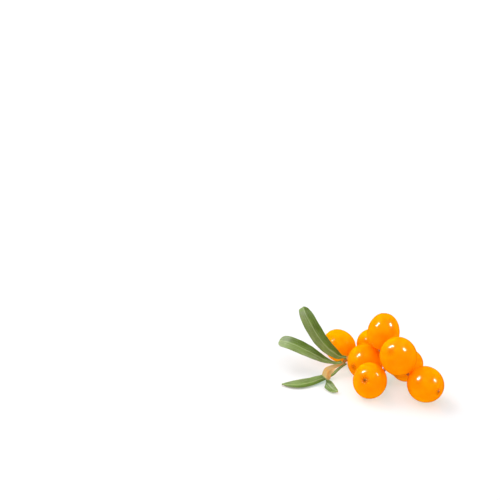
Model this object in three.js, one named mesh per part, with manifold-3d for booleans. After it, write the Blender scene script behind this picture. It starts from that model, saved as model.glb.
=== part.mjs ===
// A cut sprig of sea buckthorn lying on a table: a short woody twig with a side spur, eight berries on
// their stalks, and four narrow leaves at the shoot tip.
// Millimetres. +X runs from the leaves to the outermost berry, +Y to the back, +Z up, and the origin is on
// the table under the middle of the sprig.

import * as THREE from "three";
import { mergeVertices } from "three/addons/utils/BufferGeometryUtils.js";
import Module from "manifold-3d";

const wasm = await Module();
wasm.setup();

// ---- Driving dimensions ----

const BERRY_TAPER = 0.05; // how much the fruit narrows towards its tip
const PIT_DEPTH = 0.5; // hollow that the stalk sits in
const PIT_RADIUS = 1.0;
const NUB_HEIGHT = 0.3; // dry style left on the tip
const NUB_RADIUS = 0.5;
const BLUNT_RADIUS = 2.4; // how far a flattened tip spreads

const TWIG_RADIUS_CUT = 1.0; // at the cut end
const TWIG_RADIUS_TIP = 0.45; // where the leaves spring
const TWIG_TAPER = 0.8; // below 1, the twig slims fastest near the cut
const CUT_SLANT = 35; // degrees that the pruning cut leans off square
const CUT_SHARE = 0.05; // where the cut's middle lies along the twig
const CUT_BLOCK = 6;
const SPUR_RADIUS = 0.55;
const SPUR_TAPER = 0.25; // share of its thickness that the spur loses on the way
const STALK_RADIUS = 0.36;
const STALK_COLLAR = 0.52; // flared end that holds the berry
const COLLAR_SHARE = 0.18; // of the stalk's length, over which it flares into the collar
const HEEL_SHARE = 0.2; // over which it swells into the wood
const HEEL_SWELL = 0.8; // over the collar's flare
const STALK_LEAD = 0.9; // how far a stalk runs straight out of its berry before it bends
const STALK_LEAD_SHARE = 0.45; // the most of its reach that this may take
const BUD_RADIUS = 0.62;
const BUD_LENGTH = 1.25; // over its width
const BUD_LEAN = 0.6; // how far it leans along the twig
const BUD_STAND = 0.15; // from the bark out to its middle

const LEAF_THICKNESS = 0.6;
const PETIOLE_HALF_WIDTH = 0.42;
const PETIOLE_SHARE = 0.05; // of the leaf's length
const LEAF_TIP_WIDTH = 0.5; // over the petiole's

const SEAT = 0.25; // gap between a stalk and the berry it carries

// Each berry: where its middle is, its width, the way its tip points, its length over its width, how much
// it is drawn out upwards, and how deep its tip is flattened.
const BERRIES = [
  {
    name: "berry_front",
    at: [2.36, -9.4, 4.73],
    width: 8.9,
    tip: [-0.42, -0.78, 0.47],
    long: 0.95,
    tall: 1.08,
    blunt: 0.45,
  },
  {
    name: "berry_outer",
    at: [16.78, -11.1, 4.55],
    width: 9.3,
    tip: [0.56, -0.83, 0.05],
    long: 1.08,
    tall: 1.01,
    blunt: 0.1,
  },
  {
    name: "berry_large",
    at: [9.53, -8.33, 11.42],
    width: 9.4,
    tip: [-0.52, -0.64, 0.57],
    long: 1.13,
    tall: 1.08,
    blunt: 0.5,
  },
  {
    name: "berry_top",
    at: [6.48, 0.45, 13.8],
    width: 8.45,
    tip: [0.12, 0.34, 0.93],
    long: 1.2,
    tall: 1.0,
    blunt: 0.1,
  },
  {
    name: "berry_middle",
    at: [1.83, 0.4, 4.7],
    width: 9.65,
    tip: [-0.74, -0.68, 0.0],
    long: 0.97,
    tall: 1.0,
    blunt: 0.3,
  },
  {
    name: "berry_left",
    at: [-4.36, 10.2, 4.3],
    width: 8.34,
    tip: [-0.57, 0.72, 0.39],
    long: 1.18,
    tall: 1.0,
    blunt: 0.1,
  },
  {
    name: "berry_back",
    at: [4.6, 11.8, 4.0],
    width: 8.2,
    tip: [0.0, 0.98, -0.13],
    long: 1.04,
    tall: 1.0,
    blunt: 0.1,
  },
  {
    name: "berry_low",
    at: [12.99, -0.23, 4.15],
    width: 8.4,
    tip: [0.8, 0.5, 0.3],
    long: 1.1,
    tall: 1.0,
    blunt: 0.1,
  },
];

// The twig runs from its cut end at the back to the shoot tip; the spur leaves it under the top berry.
const TWIG_PATH = [
  [13.0, 7.5, 5.2],
  [9.2, 5.3, 5.2],
  [4.6, 6.2, 5.0],
  [0.9, 6.3, 4.4],
  [-1.3, 5.25, 3.95],
  [-2.6, 4.1, 3.5],
  [-3.6, 3.1, 3.2],
];
const SPUR_PATH = [
  [7.8, 5.3, 5.1],
  [7.75, 1.2, 4.7],
  [7.8, -2.4, 4.9],
  [10.2, -5.0, 5.8],
];

// Where each stalk leaves the wood, as a share of the way along the twig or the spur.
const STALKS = {
  berry_front: { from: "spur", share: 0.62 },
  berry_outer: { from: "spur", share: 0.97 },
  berry_large: { from: "spur", share: 0.9 },
  berry_top: { from: "spur", share: 0.5 },
  berry_middle: { from: "twig", share: 0.5 },
  berry_left: { from: "twig", share: 0.78 },
  berry_back: { from: "twig", share: 0.52 },
  berry_low: { from: "spur", share: 0.74 },
};

// Buds sit on the twig at these shares, turned round it by these angles in degrees.
const BUDS = [
  { share: 0.12, turn: 70 },
  { share: 0.27, turn: 250 },
  { share: 0.66, turn: 110 },
];

// Each leaf: half its width, the share of the blade's length where it is widest, how slender it is towards
// the petiole (foot), how long it stays broad beyond that (full) and how sharply it then ends (point), how
// much it is folded along the midrib, the midrib from petiole to tip, and the way its upper side looks at
// each of those points.
const LEAVES = [
  {
    name: "leaf_upright",
    halfWidth: 1.96,
    widest: 0.6,
    foot: 0.42,
    full: 5.5,
    point: 0.5,
    fold: 0.22,
    midrib: [
      [-2.9, 3.4, 4.4],
      [-4.9, 3.5, 4.8],
      [-6.2, 3.5, 5.8],
      [-7.7, 3.6, 7.0],
      [-9.8, 3.9, 9.4],
      [-11.15, 4.3, 11.4],
      [-12.85, 5.0, 14.3],
      [-13.85, 5.6, 16.1],
      [-14.2, 6.0, 16.8],
      [-14.4, 6.4, 17.35],
      [-14.5, 6.9, 17.85],
    ],
    face: [
      [0.2, -0.9, 0.4],
      [0.2, -0.9, 0.4],
      [0.2, -0.9, 0.35],
      [0.2, -0.9, 0.3],
      [0.2, -0.9, 0.3],
      [0.2, -0.9, 0.3],
      [0.15, -0.85, 0.45],
      [0.1, -0.6, 0.8],
      [0.0, -0.25, 1.0],
      [-0.2, 0.3, 0.9],
      [-0.3, 0.6, 0.7],
    ],
  },
  {
    name: "leaf_side",
    halfWidth: 1.85,
    widest: 0.68,
    foot: 1.0,
    full: 8.0,
    point: 0.5,
    fold: 0.2,
    midrib: [
      [-4.1, 3.3, 3.1],
      [-5.7, 3.5, 2.65],
      [-8.5, 3.7, 3.42],
      [-10.4, 4.0, 4.35],
      [-12.2, 4.3, 5.25],
      [-14.1, 4.8, 6.1],
      [-16.2, 5.4, 6.9],
      [-17.9, 6.0, 7.3],
      [-19.0, 6.6, 7.35],
      [-19.9, 7.2, 7.25],
      [-20.75, 7.8, 6.95],
    ],
    face: [
      [0.1, -0.6, 0.8],
      [0.1, -0.6, 0.8],
      [0.1, -0.65, 0.75],
      [0.1, -0.65, 0.75],
      [0.1, -0.65, 0.75],
      [0.1, -0.65, 0.75],
      [0.05, -0.65, 0.75],
      [-0.1, -0.6, 0.8],
      [-0.5, -0.3, 0.8],
      [-0.8, 0.1, 0.5],
      [-0.9, 0.3, 0.25],
    ],
  },
  {
    name: "leaf_curled",
    halfWidth: 1.3,
    widest: 0.6,
    foot: 0.5,
    full: 3.0,
    point: 0.5,
    fold: 0.15,
    midrib: [
      [-3.85, 2.4, 3.5],
      [-4.7, 1.4, 3.4],
      [-5.8, 0.5, 3.2],
      [-7.2, -0.9, 3.1],
      [-8.1, -2.0, 3.05],
      [-8.5, -3.2, 2.6],
      [-8.55, -4.6, 1.9],
      [-7.9, -5.9, 1.2],
      [-6.9, -7.3, 0.8],
      [-5.75, -8.2, 0.75],
    ],
    face: [
      [-0.3, 0.2, 0.9],
      [-0.3, 0.6, 0.7],
      [-0.4, 0.8, 0.1],
      [-0.45, 0.75, -0.45],
      [-0.4, 0.6, -0.7],
      [-0.4, 0.45, -0.75],
      [-0.95, -0.15, -0.2],
      [-0.35, -0.5, 0.75],
      [0.0, -0.5, 0.85],
      [0.2, -0.4, 0.9],
    ],
  },
  {
    name: "leaf_flat",
    halfWidth: 1.6,
    widest: 0.72,
    foot: 1.3,
    full: 2.0,
    point: 0.95,
    fold: 0.35,
    midrib: [
      [-2.9, 3.75, 2.3],
      [-4.1, 2.7, 2.0],
      [-5.05, 1.8, 1.6],
      [-6.3, 0.6, 1.05],
      [-7.9, -0.4, 0.75],
      [-9.4, -1.2, 0.6],
      [-11.2, -2.3, 0.5],
      [-12.7, -3.1, 0.42],
      [-15.2, -4.1, 0.4],
      [-17.3, -4.3, 0.4],
      [-20.3, -4.0, 0.5],
    ],
    face: [
      [-0.2, -0.2, 1.0],
      [-0.2, -0.2, 1.0],
      [-0.1, -0.2, 1.0],
      [0.0, -0.2, 1.0],
      [0.0, -0.2, 1.0],
      [0.0, -0.2, 1.0],
      [0.0, -0.2, 1.0],
      [0.0, -0.2, 1.0],
      [0.0, -0.2, 1.0],
      [0.0, -0.2, 1.0],
      [0.0, -0.2, 1.0],
    ],
  },
];

// ---- Materials ----

const skin = new THREE.MeshStandardMaterial({ color: 0xff9a05, roughness: 0.18, metalness: 0 });
const green = new THREE.MeshStandardMaterial({ color: 0x6f8f50, roughness: 0.6, metalness: 0 });
const bark = new THREE.MeshStandardMaterial({ color: 0x84653c, roughness: 0.8, metalness: 0 });

// ---- Helpers ----

const vector = (xyz) => new THREE.Vector3(...xyz);
const curveThrough = (points) => new THREE.CatmullRomCurve3(points.map(vector), false, "centripetal");
const bump = (x) => Math.exp(-x * x);

// Moves every vertex of a geometry by a function of its place.
function reshape(geometry, place) {
  const position = geometry.getAttribute("position");
  for (let i = 0; i < position.count; i++) {
    const moved = place(new THREE.Vector3().fromBufferAttribute(position, i));
    position.setXYZ(i, moved.x, moved.y, moved.z);
  }
  return geometry;
}

// A closed geometry as a manifold-3d solid.
function solidOf(geometry) {
  geometry.deleteAttribute("normal");
  geometry.deleteAttribute("uv");
  const merged = mergeVertices(geometry, 1e-4);
  return new wasm.Manifold(
    new wasm.Mesh({
      numProp: 3,
      vertProperties: merged.getAttribute("position").array,
      triVerts: new Uint32Array(merged.index.array),
    }),
  );
}

// A named mesh from a manifold-3d solid.
function meshOf(name, solid, material) {
  const made = solid.getMesh();
  const geometry = new THREE.BufferGeometry();
  geometry.setAttribute("position", new THREE.BufferAttribute(made.vertProperties, 3));
  geometry.setIndex(new THREE.BufferAttribute(made.triVerts, 1));
  geometry.computeVertexNormals();
  const mesh = new THREE.Mesh(geometry, material);
  mesh.name = name;
  return mesh;
}

// A solid limb along a curve. radiusAt takes the share of the way along.
function limb(curve, radiusAt, sides, steps) {
  const frames = curve.computeFrenetFrames(steps);
  const geometry = new THREE.CylinderGeometry(1, 1, 1, sides, steps);
  return reshape(geometry, (v) => {
    const share = 0.5 - v.y;
    const step = Math.round(share * steps);
    const radius = radiusAt(share);
    return curve
      .getPointAt(share)
      .addScaledVector(frames.normals[step], v.x * radius)
      .addScaledVector(frames.binormals[step], v.z * radius);
  });
}

// ---- Berries ----

const BERRY_SIDES = 24;
const BERRY_RINGS = 18;

// The fruit stands on its stem pole at -Y, with its tip at +Y.
function berry({ at, width, tip, long, tall, blunt }) {
  const halfLength = (width * long) / 2;
  const geometry = new THREE.SphereGeometry(1, BERRY_SIDES, BERRY_RINGS);
  reshape(geometry, (v) => {
    const across = Math.hypot(v.x, v.z);
    const radius = (across * width) / 2;
    const pit = PIT_DEPTH * bump(radius / PIT_RADIUS);
    const crown = NUB_HEIGHT * bump(radius / NUB_RADIUS) - blunt * bump(radius / BLUNT_RADIUS);
    const end = v.y < 0 ? pit : crown;
    const girth = (width / 2) * (1 - BERRY_TAPER * v.y);
    return new THREE.Vector3(v.x * girth, v.y * halfLength + end, v.z * girth);
  });
  geometry.applyQuaternion(
    new THREE.Quaternion().setFromUnitVectors(new THREE.Vector3(0, 1, 0), vector(tip).normalize()),
  );
  geometry.scale(1, 1, tall);
  geometry.translate(...at);
  return solidOf(geometry).subtract(table);
}

// The middle of a berry's stem pit.
function stemPit({ at, width, tip, long, tall }) {
  const reach = (width * long) / 2 - PIT_DEPTH;
  const offset = vector(tip).setLength(-reach).multiply(new THREE.Vector3(1, 1, tall));
  return vector(at).add(offset);
}

const TABLE_SIZE = 100;
const table = solidOf(new THREE.BoxGeometry(TABLE_SIZE, TABLE_SIZE, TABLE_SIZE).translate(0, 0, -TABLE_SIZE / 2));

// ---- Twig, spur, stalks and buds ----

const TWIG_SIDES = 12;
const TWIG_STEPS = 26;
const SPUR_SIDES = 10;
const SPUR_STEPS = 14;
const STALK_SIDES = 8;
const STALK_STEPS = 8;
const BUD_SIDES = 10;
const BUD_RINGS = 7;

const twigCurve = curveThrough(TWIG_PATH);
const spurCurve = curveThrough(SPUR_PATH);

const twigRadius = (share) => THREE.MathUtils.lerp(TWIG_RADIUS_CUT, TWIG_RADIUS_TIP, share ** TWIG_TAPER);
const spurRadius = (share) => SPUR_RADIUS * (1 - SPUR_TAPER * share);

function stalkRadius(share) {
  const flare = bump((1 - share) / COLLAR_SHARE) + HEEL_SWELL * bump(share / HEEL_SHARE);
  return STALK_RADIUS + (STALK_COLLAR - STALK_RADIUS) * flare;
}

// A stalk leaves the wood, bends, and enters the berry's pit straight along the berry's axis.
function stalk(fruit) {
  const { from, share } = STALKS[fruit.name];
  const wood = from === "twig" ? twigCurve : spurCurve;
  const root = wood.getPointAt(share);
  const pit = stemPit(fruit);
  const outward = pit.clone().sub(vector(fruit.at)).normalize();
  const end = pit.clone().addScaledVector(outward, SEAT);
  const lead = Math.min(STALK_LEAD, root.distanceTo(end) * STALK_LEAD_SHARE);
  const bend = end.clone().addScaledVector(outward, lead);
  const curve = new THREE.QuadraticBezierCurve3(root, bend, end);
  return solidOf(limb(curve, stalkRadius, STALK_SIDES, STALK_STEPS));
}

function bud({ share, turn }) {
  const along = twigCurve.getTangentAt(share);
  const side = new THREE.Vector3(0, 0, 1)
    .cross(along)
    .normalize()
    .applyAxisAngle(along, THREE.MathUtils.degToRad(turn));
  const geometry = new THREE.SphereGeometry(BUD_RADIUS, BUD_SIDES, BUD_RINGS);
  geometry.scale(1, BUD_LENGTH, 1);
  const lean = side.clone().addScaledVector(along, BUD_LEAN).normalize();
  geometry.applyQuaternion(new THREE.Quaternion().setFromUnitVectors(new THREE.Vector3(0, 1, 0), lean));
  const middle = twigCurve.getPointAt(share).addScaledVector(side, twigRadius(share) + BUD_STAND);
  geometry.translate(...middle);
  return solidOf(geometry);
}

// The block that takes the twig's end off on a slant, as pruning shears do.
function prunedOff() {
  const block = new THREE.BoxGeometry(CUT_BLOCK, CUT_BLOCK, CUT_BLOCK);
  block.translate(0, -CUT_BLOCK / 2, 0);
  const along = twigCurve.getTangentAt(0);
  const turned = new THREE.Quaternion().setFromUnitVectors(new THREE.Vector3(0, 1, 0), along);
  block.rotateX(THREE.MathUtils.degToRad(CUT_SLANT));
  block.applyQuaternion(turned);
  block.translate(...twigCurve.getPointAt(CUT_SHARE));
  return solidOf(block);
}

function twig() {
  let wood = solidOf(limb(twigCurve, twigRadius, TWIG_SIDES, TWIG_STEPS)).subtract(prunedOff());
  wood = wood.add(solidOf(limb(spurCurve, spurRadius, SPUR_SIDES, SPUR_STEPS)));
  for (const fruit of BERRIES) wood = wood.add(stalk(fruit));
  for (const each of BUDS) wood = wood.add(bud(each));
  return wood;
}

// ---- Leaves ----

const LEAF_STEPS = 24;
const TIP_CROWDING = 1.35; // above 1, the steps shorten towards the tip
const LEAF_COLUMNS = 6;
const LOWER_FACE = 5; // the box's face that looks down, among its six

// Half the blade's width along a leaf: a narrow petiole, then a blade that swells and closes to its tip.
function leafOutline(share, { halfWidth, widest, foot, full, point }) {
  const blade = THREE.MathUtils.clamp((share - PETIOLE_SHARE) / (1 - PETIOLE_SHARE), 0, 1);
  const swelling = Math.sin((Math.PI / 2) * Math.min(1, blade / widest)) ** foot;
  const beyond = Math.max(0, (blade - widest) / (1 - widest));
  const closing = (1 - beyond ** full) ** point;
  const least = PETIOLE_HALF_WIDTH * THREE.MathUtils.lerp(1, LEAF_TIP_WIDTH, blade);
  return Math.max(least, halfWidth * swelling * closing);
}

// Splits the squares of a box's lower face along the same diagonals as the upper face's, so that a bent
// blade keeps its thickness.
function alignDiagonals(box) {
  const index = box.index.array;
  const lower = box.groups[LOWER_FACE];
  for (let i = lower.start; i < lower.start + lower.count; i += 6) {
    const [a, b, , , c, d] = index.slice(i, i + 6);
    index.set([a, b, c, a, c, d], i);
  }
}

function leaf(shape) {
  const curve = curveThrough(shape.midrib);
  const faces = curveThrough(shape.face);
  const geometry = new THREE.BoxGeometry(1, 1, 1, LEAF_COLUMNS, LEAF_STEPS, 1);
  alignDiagonals(geometry);
  return reshape(geometry, (v) => {
    const share = 1 - (0.5 - v.y) ** TIP_CROWDING;
    const t = curve.getUtoTmapping(share);
    const along = curve.getTangent(t);
    const up = faces.getPoint(t);
    up.addScaledVector(along, -up.dot(along)).normalize();
    const side = along.clone().cross(up);
    const width = leafOutline(share, shape);
    const across = 2 * v.x;
    const lift = shape.fold * width * across * across;
    return curve
      .getPoint(t)
      .addScaledVector(side, across * width)
      .addScaledVector(up, lift + v.z * LEAF_THICKNESS);
  });
}

// ---- The sprig ----

const sprig = new THREE.Group();
sprig.add(meshOf("twig", twig(), bark));
for (const fruit of BERRIES) sprig.add(meshOf(fruit.name, berry(fruit), skin));
for (const each of LEAVES) sprig.add(meshOf(each.name, solidOf(leaf(each)), green));

export default sprig;
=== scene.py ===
"""A cut sprig of sea buckthorn on a pale studio table: glossy berries on short stalks, a woody twig and
four narrow leaves. +X runs from the leaves to the outermost berry, +Y to the back and +Z up.

The sprig's own sizes and places are in millimetres, as in its solids, and its finishes read their patterns
in millimetres too. A mesh is turned into metres when it is made. The camera, the lights, the table's finish
and the heights of relief are in metres."""

import math

import bmesh
import bpy
import numpy as np
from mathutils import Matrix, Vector, noise


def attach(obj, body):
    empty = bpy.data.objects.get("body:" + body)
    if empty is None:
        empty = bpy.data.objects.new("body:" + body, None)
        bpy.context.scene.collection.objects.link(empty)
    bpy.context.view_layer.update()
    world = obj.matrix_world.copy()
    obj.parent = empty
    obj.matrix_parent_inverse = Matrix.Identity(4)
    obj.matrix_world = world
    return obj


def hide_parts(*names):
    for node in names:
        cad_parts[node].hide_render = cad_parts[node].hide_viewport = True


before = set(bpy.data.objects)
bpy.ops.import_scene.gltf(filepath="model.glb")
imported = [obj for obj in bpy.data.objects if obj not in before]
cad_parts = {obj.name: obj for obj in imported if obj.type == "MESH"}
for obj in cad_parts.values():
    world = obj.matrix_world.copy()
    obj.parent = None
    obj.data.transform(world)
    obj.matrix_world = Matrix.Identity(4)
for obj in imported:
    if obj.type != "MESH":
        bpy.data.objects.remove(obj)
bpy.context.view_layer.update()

MM = 0.001  # metres

# ---- The sprig's sizes ----

BERRY_TAPER = 0.05  # how much the fruit narrows towards its tip
PIT_DEPTH = 0.5  # of the hollow that the stalk sits in
PIT_RADIUS = 1.0
BLUNT_RADIUS = 2.4  # how far a flattened tip spreads

# Each berry: its middle, its width, the way its tip points, its length over its width, how much it is
# drawn out upwards, and how deep its tip is flattened. Then its skin: scab is how dark and high the dried
# style is, fold how deep the skin puckers round it, blush how red the skin is there, and gloss how strongly
# it mirrors the lights.
BERRIES = {
    "berry_front": dict(
        at=(2.36, -9.4, 4.73), width=8.9, tip=(-0.42, -0.78, 0.47),
        long=0.95, tall=1.08, blunt=0.45, scab=0.9, fold=1.0, blush=0.95, gloss=0.1,
    ),
    "berry_outer": dict(
        at=(16.78, -11.1, 4.55), width=9.3, tip=(0.56, -0.83, 0.05),
        long=1.08, tall=1.01, blunt=0.1, scab=0.9, fold=0.8, blush=0.5, gloss=0.1,
    ),
    "berry_large": dict(
        at=(9.53, -8.33, 11.42), width=9.4, tip=(-0.52, -0.64, 0.57),
        long=1.13, tall=1.08, blunt=0.5, scab=0.0, fold=0.0, blush=1.1, gloss=0.1,
    ),
    "berry_top": dict(
        at=(6.48, 0.45, 13.8), width=8.45, tip=(0.12, 0.34, 0.93),
        long=1.2, tall=1.0, blunt=0.1, scab=0.5, fold=0.5, blush=0.2, gloss=0.1,
    ),
    "berry_middle": dict(
        at=(1.83, 0.4, 4.7), width=9.65, tip=(-0.74, -0.68, 0.0),
        long=0.97, tall=1.0, blunt=0.3, scab=0.3, fold=1.0, blush=0.7, gloss=0.1,
    ),
    "berry_left": dict(
        at=(-4.36, 10.2, 4.3), width=8.34, tip=(-0.57, 0.72, 0.39),
        long=1.18, tall=1.0, blunt=0.1, scab=1.0, fold=0.7, blush=0.6, gloss=0.015,
    ),
    "berry_back": dict(
        at=(4.6, 11.8, 4.0), width=8.2, tip=(0.0, 0.98, -0.13),
        long=1.04, tall=1.0, blunt=0.1, scab=0.8, fold=0.9, blush=0.6, gloss=0.015,
    ),
    "berry_low": dict(
        at=(12.99, -0.23, 4.15), width=8.4, tip=(0.8, 0.5, 0.3),
        long=1.1, tall=1.0, blunt=0.1, scab=0.9, fold=0.7, blush=0.7, gloss=0.1,
    ),
}

TWIG_RADIUS_CUT = 1.0  # at the cut end
TWIG_RADIUS_TIP = 0.45  # where the leaves spring
TWIG_TAPER = 0.8  # below 1, the twig slims fastest near the cut
CUT_SLANT = 35  # degrees that the pruning cut leans off square
CUT_SHARE = 0.05  # where the cut's middle lies along the twig
SPUR_RADIUS = 0.55
SPUR_TAPER = 0.25  # share of its thickness that the spur loses on the way
STALK_RADIUS = 0.36
STALK_COLLAR = 0.52  # radius of the flared end that holds the berry
COLLAR_SHARE = 0.18  # of the stalk's length, over which it flares into the collar
HEEL_SHARE = 0.2  # over which it swells into the wood
HEEL_SWELL = 0.8  # over the collar's flare
STALK_LEAD = 0.9  # how far a stalk runs straight out of its berry before it bends
STALK_LEAD_SHARE = 0.45  # the most of its reach that this may take
SEAT = 0.25  # gap between a stalk and the berry it carries
BUD_RADIUS = 0.62
BUD_LENGTH = 1.25  # over its width
BUD_LEAN = 0.6  # how far it leans along the twig
BUD_STAND = 0.15  # from the bark out to its middle

TWIG_PATH = [
    (13.0, 7.5, 5.2),
    (9.2, 5.3, 5.2),
    (4.6, 6.2, 5.0),
    (0.9, 6.3, 4.4),
    (-1.3, 5.25, 3.95),
    (-2.6, 4.1, 3.5),
    (-3.6, 3.1, 3.2),
]
SPUR_PATH = [
    (7.8, 5.3, 5.1),
    (7.75, 1.2, 4.7),
    (7.8, -2.4, 4.9),
    (10.2, -5.0, 5.8),
]

# The wood that each berry's stalk grows from, and how far along it.
STALKS = {
    "berry_front": ("spur", 0.62),
    "berry_outer": ("spur", 0.97),
    "berry_large": ("spur", 0.9),
    "berry_top": ("spur", 0.5),
    "berry_middle": ("twig", 0.5),
    "berry_left": ("twig", 0.78),
    "berry_back": ("twig", 0.52),
    "berry_low": ("spur", 0.74),
}

# How far along the twig each bud sits, and how far round it in degrees.
BUDS = [(0.12, 70), (0.27, 250), (0.66, 110)]

LEAF_THICKNESS = 0.34
PETIOLE_HALF_WIDTH = 0.42
PETIOLE_SHARE = 0.05  # of the leaf's length
LEAF_TIP_WIDTH = 0.5  # over the petiole's

# Each leaf: half its width, the share of the blade's length where it is widest, how slender it is towards
# the petiole (foot), how long it stays broad beyond that (full), how sharply it then ends (point), and how
# much it is folded along the midrib. Then its colours: rust is how brown the underside is, silver how pale
# the scales make the upper side, and the painted shade how dark one half of that side is painted, as if
# turned from the light, while the other half is painted paler, as if lit; below 0 it darkens the other
# half.
# Last, the midrib from petiole to tip, and the way the upper side looks at each of its points.
LEAVES = {
    "leaf_upright": dict(
        half_width=1.96,
        widest=0.6,
        foot=0.42,
        full=5.5,
        point=0.5,
        fold=0.22,
        rust=0.25,
        silver=0.25,
        half_shade=1.0,
        midrib=[
            (-2.9, 3.4, 4.4),
            (-4.9, 3.5, 4.8),
            (-6.2, 3.5, 5.8),
            (-7.7, 3.6, 7.0),
            (-9.8, 3.9, 9.4),
            (-11.15, 4.3, 11.4),
            (-12.85, 5.0, 14.3),
            (-13.85, 5.6, 16.1),
            (-14.2, 6.0, 16.8),
            (-14.4, 6.4, 17.35),
            (-14.5, 6.9, 17.85),
        ],
        face=[
            (0.2, -0.9, 0.4),
            (0.2, -0.9, 0.4),
            (0.2, -0.9, 0.35),
            (0.2, -0.9, 0.3),
            (0.2, -0.9, 0.3),
            (0.2, -0.9, 0.3),
            (0.15, -0.85, 0.45),
            (0.1, -0.6, 0.8),
            (0.0, -0.25, 1.0),
            (-0.2, 0.3, 0.9),
            (-0.3, 0.6, 0.7),
        ],
    ),
    "leaf_side": dict(
        half_width=1.85,
        widest=0.68,
        foot=1.0,
        full=8.0,
        point=0.5,
        fold=0.2,
        rust=0.3,
        silver=0.5,
        half_shade=1.0,
        midrib=[
            (-4.1, 3.3, 3.1),
            (-5.7, 3.5, 2.65),
            (-8.5, 3.7, 3.42),
            (-10.4, 4.0, 4.35),
            (-12.2, 4.3, 5.25),
            (-14.1, 4.8, 6.1),
            (-16.2, 5.4, 6.9),
            (-17.9, 6.0, 7.3),
            (-19.0, 6.6, 7.35),
            (-19.9, 7.2, 7.25),
            (-20.75, 7.8, 6.95),
        ],
        face=[
            (0.1, -0.6, 0.8),
            (0.1, -0.6, 0.8),
            (0.1, -0.65, 0.75),
            (0.1, -0.65, 0.75),
            (0.1, -0.65, 0.75),
            (0.1, -0.65, 0.75),
            (0.05, -0.65, 0.75),
            (-0.1, -0.6, 0.8),
            (-0.5, -0.3, 0.8),
            (-0.8, 0.1, 0.5),
            (-0.9, 0.3, 0.25),
        ],
    ),
    "leaf_curled": dict(
        half_width=1.3,
        widest=0.6,
        foot=0.5,
        full=3.0,
        point=0.5,
        fold=0.15,
        rust=1.0,
        silver=1.3,
        half_shade=0.3,
        midrib=[
            (-3.85, 2.4, 3.5),
            (-4.7, 1.4, 3.4),
            (-5.8, 0.5, 3.2),
            (-7.2, -0.9, 3.1),
            (-8.1, -2.0, 3.05),
            (-8.5, -3.2, 2.6),
            (-8.55, -4.6, 1.9),
            (-7.9, -5.9, 1.2),
            (-6.9, -7.3, 0.8),
            (-5.75, -8.2, 0.75),
        ],
        face=[
            (-0.3, 0.2, 0.9),
            (-0.3, 0.6, 0.7),
            (-0.4, 0.8, 0.1),
            (-0.45, 0.75, -0.45),
            (-0.4, 0.6, -0.7),
            (-0.4, 0.45, -0.75),
            (-0.95, -0.15, -0.2),
            (-0.35, -0.5, 0.75),
            (0.0, -0.5, 0.85),
            (0.2, -0.4, 0.9),
        ],
    ),
    "leaf_flat": dict(
        half_width=1.6,
        widest=0.72,
        foot=1.3,
        full=2.0,
        point=0.95,
        fold=0.35,
        rust=0.3,
        silver=0.3,
        half_shade=-1.7,
        midrib=[
            (-2.9, 3.75, 2.3),
            (-4.1, 2.7, 2.0),
            (-5.05, 1.8, 1.6),
            (-6.3, 0.6, 1.05),
            (-7.9, -0.4, 0.75),
            (-9.4, -1.2, 0.6),
            (-11.2, -2.3, 0.5),
            (-12.7, -3.1, 0.42),
            (-15.2, -4.1, 0.4),
            (-17.3, -4.3, 0.4),
            (-20.3, -4.0, 0.5),
        ],
        face=[
            (-0.2, -0.2, 1.0),
            (-0.2, -0.2, 1.0),
            (-0.1, -0.2, 1.0),
            (0.0, -0.2, 1.0),
            (0.0, -0.2, 1.0),
            (0.0, -0.2, 1.0),
            (0.0, -0.2, 1.0),
            (0.0, -0.2, 1.0),
            (0.0, -0.2, 1.0),
            (0.0, -0.2, 1.0),
            (0.0, -0.2, 1.0),
        ],
    ),
}


# ---- Camera ----

LENS = 100.0  # millimetres, on a sensor 36 mm wide
SENSOR = 36.0
PITCH = math.radians(25)
FRAME_SIDE = 500  # pixels
AIM = Vector((2.5, -9.0, 4.5)) * MM  # a point near the middle of the front berry
AIM_PIXEL = (370.0, 380.6)  # where it stands in the frame, from the upper left corner
AIM_DEPTH = 0.361  # metres that it lies in front of the camera


def add_camera():
    """Looks down at the table with the front berry at its pixel, low and right of the frame's middle."""
    data = bpy.data.cameras.new("camera")
    data.lens = LENS
    data.sensor_width = SENSOR
    camera = bpy.data.objects.new("camera", data)
    bpy.context.scene.collection.objects.link(camera)
    ahead = Vector((0, math.cos(PITCH), -math.sin(PITCH)))
    up = Vector((0, math.sin(PITCH), math.cos(PITCH)))
    right = Vector((1, 0, 0))
    focal = FRAME_SIDE * LENS / SENSOR
    across = (AIM_PIXEL[0] - FRAME_SIDE / 2) / focal
    below = (AIM_PIXEL[1] - FRAME_SIDE / 2) / focal
    camera.location = AIM - (ahead + across * right - below * up) * AIM_DEPTH
    camera.rotation_euler = (math.pi / 2 - PITCH, 0, 0)
    bpy.context.scene.camera = camera


# ---- Shaders ----


class Value:
    """A shader value. An operator on it adds the Math node that works it out."""

    def __init__(self, finish, socket):
        self.finish = finish
        self.socket = socket

    def math(self, operation, *others):
        return self.finish.node("ShaderNodeMath", {"operation": operation}, [self, *others])

    def __add__(self, other):
        return self.math("ADD", other)

    def __sub__(self, other):
        return self.math("SUBTRACT", other)

    def __rsub__(self, other):
        return self.finish.node("ShaderNodeMath", {"operation": "SUBTRACT"}, [other, self])

    def __mul__(self, other):
        return self.math("MULTIPLY", other)

    def __truediv__(self, other):
        return self.math("DIVIDE", other)

    __radd__ = __add__
    __rmul__ = __mul__

    def bell(self, middle, spread):
        """1 where the value is at middle, and falling away over spread on both sides."""
        away = (self - middle) / spread
        return (away * away * -1).math("EXPONENT")

    def between(self, low, high):
        """0 below low, 1 above high, and smooth between them."""
        settings = {"interpolation_type": "SMOOTHSTEP"}
        return self.finish.node("ShaderNodeMapRange", settings, [self, low, high, 0.0, 1.0])


# The places of a Mix node's sockets when it mixes colours.
MIX_SHARE = 0
MIX_FIRST = 6
MIX_SECOND = 7
MIX_RESULT = 2


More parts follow.
